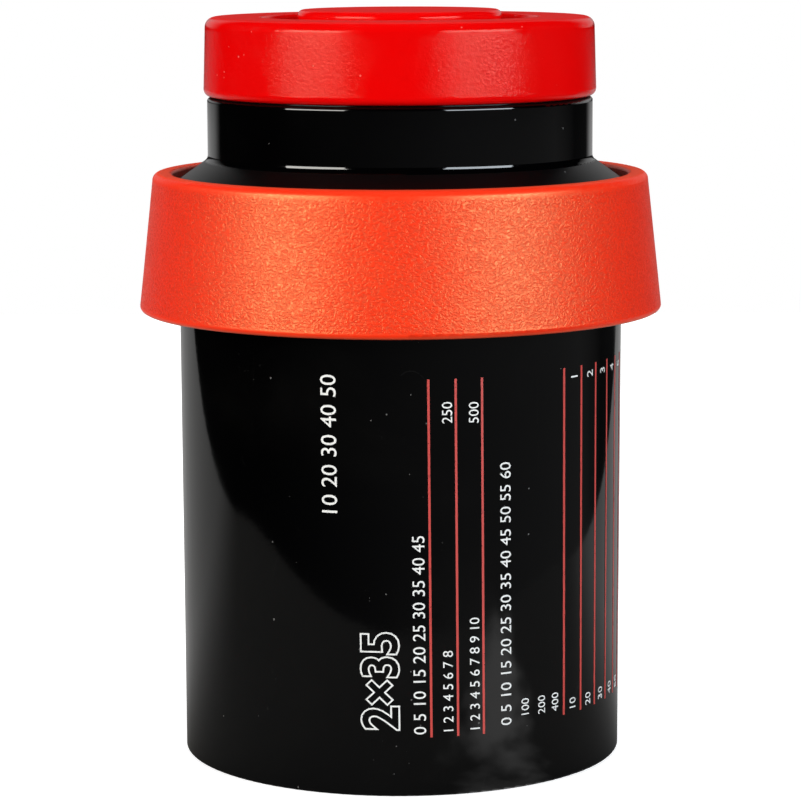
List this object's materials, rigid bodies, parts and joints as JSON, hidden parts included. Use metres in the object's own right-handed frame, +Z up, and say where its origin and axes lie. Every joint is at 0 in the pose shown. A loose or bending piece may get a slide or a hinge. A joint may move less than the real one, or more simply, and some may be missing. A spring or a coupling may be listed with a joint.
{
  "type": "film developing tank",
  "caption": "Daylight film developing canister: black cup with spiral reels on a core, lid with neck and funnel, soft red lock ring and red push-on cap.",
  "frame": {"origin": "centre of the foot, on the surface that the tank stands on", "axes": "+Z up along the axis of the tank, -Y towards the front with the printed rules, +X to the right as seen from the front"},
  "size_m": [0.1014, 0.1014, 0.1445],
  "materials": {
    "gloss_black": "gloss, moulded",
    "matt_black": "satin, moulded",
    "natural_white": "natural, slightly translucent",
    "seal_rubber": "matt",
    "ring_red": "soft, fine grain",
    "cap_red": "soft, satin"
  },
  "bodies": {
    "tank": {"tank_body": "gloss_black"},
    "core": {"core_tube": "matt_black"},
    "lower_reel_bottom": {"reel_a_lower": "natural_white"},
    "lower_reel_top": {"reel_a_upper": "natural_white"},
    "upper_reel_bottom": {"reel_b_lower": "natural_white"},
    "upper_reel_top": {"reel_b_upper": "natural_white"},
    "lid": {"lid_shell": "gloss_black", "lid_funnel": "matt_black", "lid_gasket": "seal_rubber"},
    "ring": {"lock_ring": "ring_red"},
    "cap": {"cap": "cap_red"}
  },
  "joints": [
    {"name": "core_lift", "type": "slide", "parent": "tank", "child": "core", "axis": [0, 0, 1], "range_m": [0, 0.11]},
    {"name": "lower_reel_lift", "type": "slide", "parent": "core", "child": "lower_reel_bottom", "axis": [0, 0, 1], "range_m": [0, 0.1]},
    {"name": "lower_reel_width", "type": "slide", "parent": "lower_reel_bottom", "child": "lower_reel_top", "axis": [0, 0, 1], "range_m": [0, 0.0265]},
    {"name": "upper_reel_lift", "type": "slide", "parent": "lower_reel_top", "child": "upper_reel_bottom", "axis": [0, 0, 1], "range_m": [0, 0.055]},
    {"name": "upper_reel_width", "type": "slide", "parent": "upper_reel_bottom", "child": "upper_reel_top", "axis": [0, 0, 1], "range_m": [0, 0.0265]},
    {"name": "lid_lift", "type": "slide", "parent": "upper_reel_top", "child": "lid", "axis": [0, 0, 1], "range_m": [0, 0.05]},
    {"name": "ring_release", "type": "slide", "parent": "lid", "child": "ring", "axis": [0, 0, 1], "range_m": [0, 0.005]},
    {"name": "cap_pull", "type": "slide", "parent": "lid", "child": "cap", "axis": [0, 0, 1], "range_m": [0, 0.025]}
  ]
}
